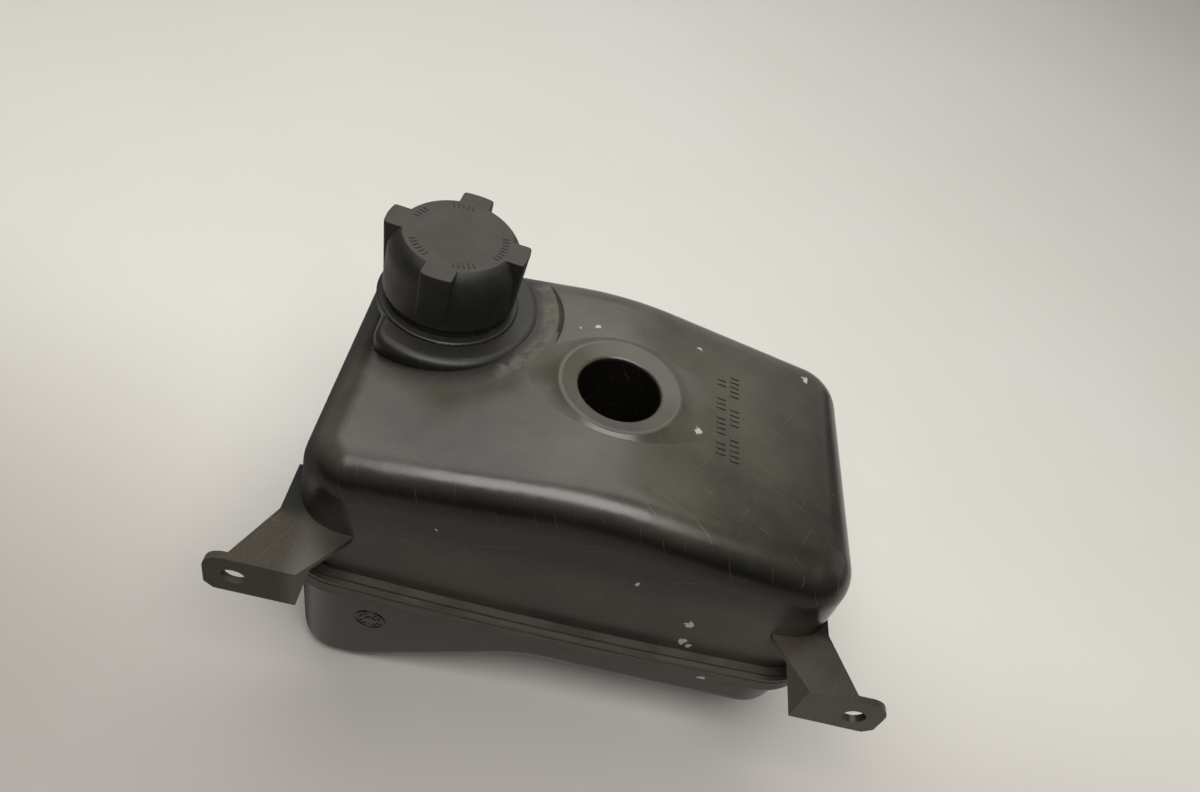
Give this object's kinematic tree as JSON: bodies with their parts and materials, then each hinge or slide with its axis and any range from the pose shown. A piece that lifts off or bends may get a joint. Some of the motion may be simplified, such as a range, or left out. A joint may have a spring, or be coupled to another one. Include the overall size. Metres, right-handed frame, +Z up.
{
  "type": "coolant expansion tank",
  "caption": "Moulded black coolant expansion tank with a welded lip, side mounting brackets, a tunnel through it and a lugged screw cap that holds pressure and vacuum valves.",
  "frame": {"origin": "midway between the two bracket slots, on the front face of the brackets", "axes": "+X to the right seen from the bracketed front, +Y to the back, +Z up along the filler neck"},
  "size_m": [0.306, 0.2125, 0.1973],
  "materials": {
    "tank_plastic": "black moulded plastic, half gloss, scuffed and dusty",
    "cap_plastic": "black moulded plastic, matt, greyed on top",
    "valve_plastic": "black moulded plastic",
    "seal_rubber": "black rubber",
    "spring_steel": "drawn wire",
    "valve_brass": "turned"
  },
  "bodies": {
    "tank": {"upper_shell": "tank_plastic", "lower_shell": "tank_plastic"},
    "valve_cartridge": {"valve_housing": "valve_plastic", "valve_cover": "valve_plastic", "neck_seal": "seal_rubber", "pressure_spring": "spring_steel"},
    "screw_cap": {"cap": "cap_plastic"},
    "pressure_valve": {"pressure_plate": "valve_plastic", "pressure_seal": "seal_rubber", "vacuum_spring": "spring_steel"},
    "vacuum_poppet": {"vacuum_valve": "valve_brass", "vacuum_clip": "valve_brass"}
  },
  "joints": [
    {"name": "cap_rise", "type": "slide", "parent": "tank", "child": "valve_cartridge", "axis": [0, 0, 1], "range_m": [0, 0.0075]},
    {"name": "cap_turn", "type": "hinge", "parent": "valve_cartridge", "child": "screw_cap", "pos_m": [-0.086, 0.1375, 0.09], "axis": [0, 0, 1], "range_deg": [0, 540]},
    {"name": "pressure_lift", "type": "slide", "parent": "valve_cartridge", "child": "pressure_valve", "axis": [0, 0, 1], "range_m": [0, 0.0025], "stiffness_N_per_m": 500, "springref_m": -0.001, "deforming": ["pressure_spring"]},
    {"name": "vacuum_drop", "type": "slide", "parent": "pressure_valve", "child": "vacuum_poppet", "axis": [0, 0, -1], "range_m": [0, 0.0015], "stiffness_N_per_m": 30, "springref_m": -0.002, "deforming": ["vacuum_spring"]}
  ],
  "couplings": [
    {"joint": "cap_turn", "follows": "cap_rise", "rad_per_m": 1256.6}
  ]
}
